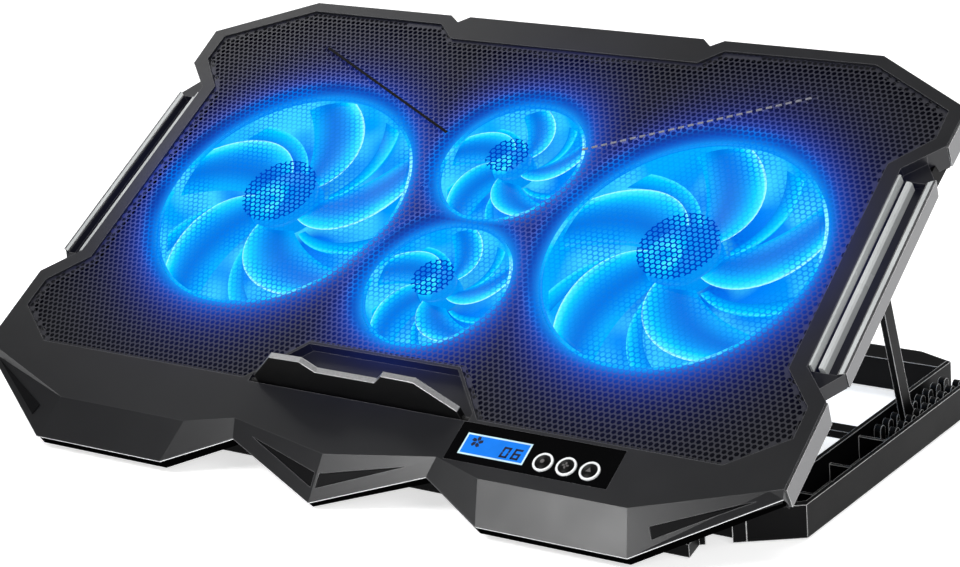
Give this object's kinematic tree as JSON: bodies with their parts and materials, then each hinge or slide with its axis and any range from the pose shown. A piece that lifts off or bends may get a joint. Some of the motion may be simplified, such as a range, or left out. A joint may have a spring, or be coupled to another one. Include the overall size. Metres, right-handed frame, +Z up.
{
  "type": "laptop cooling pad",
  "caption": "Tilting laptop cooling pad with a perforated deck over lit fans, a flip-up laptop stop, a control panel and a folding stand with notched strut supports.",
  "frame": {"origin": "centre of the part's footprint on the surface it stands on, with the deck raised as it is used", "axes": "+X along the width, to the right seen from the front, +Y to the back, +Z up"},
  "size_m": [0.4062, 0.2292, 0.1459],
  "materials": {
    "charcoal_frame": "satin",
    "black_cover": "matte",
    "black_base": "satin",
    "mesh_metal": "perforated, satin",
    "silver_wall": "satin silver",
    "silver_trim": "satin silver",
    "white_bar": "pearl",
    "gloss_black": "gloss",
    "display": "lit",
    "chrome_ring": "polished",
    "button_black": "satin",
    "fan_blade": "translucent, lit",
    "strut_black": "satin",
    "board": "circuit board",
    "steel": "plain",
    "rubber": "matte"
  },
  "bodies": {
    "base": {"base_front_beam": "black_base", "base_middle_beam": "black_base", "base_rear_beam": "black_base", "base_rail_left": "black_base", "tooth_row_inner_left": "black_base", "tooth_row_outer_left": "black_base", "foot_ramp_left": "black_base", "hinge_pin_left": "steel", "foot_front_left": "rubber", "foot_rear_left": "rubber", "base_rail_right": "black_base", "tooth_row_inner_right": "black_base", "tooth_row_outer_right": "black_base", "foot_ramp_right": "black_base", "hinge_pin_right": "steel", "foot_front_right": "rubber", "foot_rear_right": "rubber"},
    "deck": {"deck_frame": "charcoal_frame", "deck_bottom_cover": "black_cover", "mesh_panel": "mesh_metal", "control_window": "gloss_black", "lcd_module": "display", "control_pcb": "board", "button_bezel": "chrome_ring", "usb_board": "board", "stop_hinge_rod": "steel", "light_bar_left": "white_bar", "accent_strip_left": "silver_trim", "usb_socket_left": "steel", "strut_bracket_left": "black_cover", "trim_rear_left": "silver_wall", "trim_rail_left": "silver_wall", "trim_front_left": "silver_wall", "light_bar_right": "white_bar", "accent_strip_right": "silver_trim", "usb_socket_right": "steel", "strut_bracket_right": "black_cover", "trim_rear_right": "silver_wall", "trim_rail_right": "silver_wall", "trim_front_right": "silver_wall", "fan_housing_left": "black_cover", "fan_stator_left": "black_cover", "fan_housing_right": "black_cover", "fan_stator_right": "black_cover", "fan_housing_rear": "black_cover", "fan_stator_rear": "black_cover", "fan_housing_front": "black_cover", "fan_stator_front": "black_cover"},
    "stop": {"laptop_stop": "charcoal_frame"},
    "strut_left": {"strut_left": "strut_black"},
    "strut_right": {"strut_right": "strut_black"},
    "fan_left": {"impeller_left": "fan_blade"},
    "fan_right": {"impeller_right": "fan_blade"},
    "fan_rear": {"impeller_rear": "fan_blade"},
    "fan_front": {"impeller_front": "fan_blade"},
    "button_1": {"button_1": "button_black"},
    "button_2": {"button_2": "button_black"},
    "button_3": {"button_3": "button_black"}
  },
  "joints": [
    {"name": "deck_tilt", "type": "hinge", "parent": "base", "child": "deck", "pos_m": [0, -0.07431, 0.0085], "axis": [1, 0, 0], "range_deg": [-30.5, 1.6]},
    {"name": "strut_left_swing", "type": "hinge", "parent": "deck", "child": "strut_left", "pos_m": [-0.1864, 0.02789, 0.08088], "axis": [1, 0, 0], "range_deg": [-5.6, 104.2]},
    {"name": "strut_right_swing", "type": "hinge", "parent": "deck", "child": "strut_right", "pos_m": [0.1864, 0.02789, 0.08088], "axis": [1, 0, 0], "range_deg": [-5.6, 104.2]},
    {"name": "stop_flip", "type": "hinge", "parent": "deck", "child": "stop", "pos_m": [0, -0.07483, 0.03489], "axis": [1, 0, 0], "range_deg": [-90, 0]},
    {"name": "fan_left_spin", "type": "hinge", "parent": "deck", "child": "fan_left", "pos_m": [-0.1038, 0.01588, 0.08019], "axis": [0, -0.5075, 0.8616], "continuous": true},
    {"name": "fan_right_spin", "type": "hinge", "parent": "deck", "child": "fan_right", "pos_m": [0.1038, 0.01588, 0.08019], "axis": [0, -0.5075, 0.8616], "continuous": true},
    {"name": "fan_rear_spin", "type": "hinge", "parent": "deck", "child": "fan_rear", "pos_m": [0, 0.04716, 0.09862], "axis": [0, -0.5075, 0.8616], "continuous": true},
    {"name": "fan_front_spin", "type": "hinge", "parent": "deck", "child": "fan_front", "pos_m": [0, -0.01402, 0.06258], "axis": [0, -0.5075, 0.8616], "continuous": true},
    {"name": "button_1_press", "type": "slide", "parent": "deck", "child": "button_1", "axis": [0, 0.5075, -0.8616], "range_m": [0, 0.0012], "stiffness_N_per_m": 600},
    {"name": "button_2_press", "type": "slide", "parent": "deck", "child": "button_2", "axis": [0, 0.5075, -0.8616], "range_m": [0, 0.0012], "stiffness_N_per_m": 600},
    {"name": "button_3_press", "type": "slide", "parent": "deck", "child": "button_3", "axis": [0, 0.5075, -0.8616], "range_m": [0, 0.0012], "stiffness_N_per_m": 600}
  ],
  "couplings": [
    {"joint": "strut_left_swing", "follows": "deck_tilt", "ratio": -3.4094},
    {"joint": "strut_right_swing", "follows": "deck_tilt", "ratio": -3.4094}
  ]
}
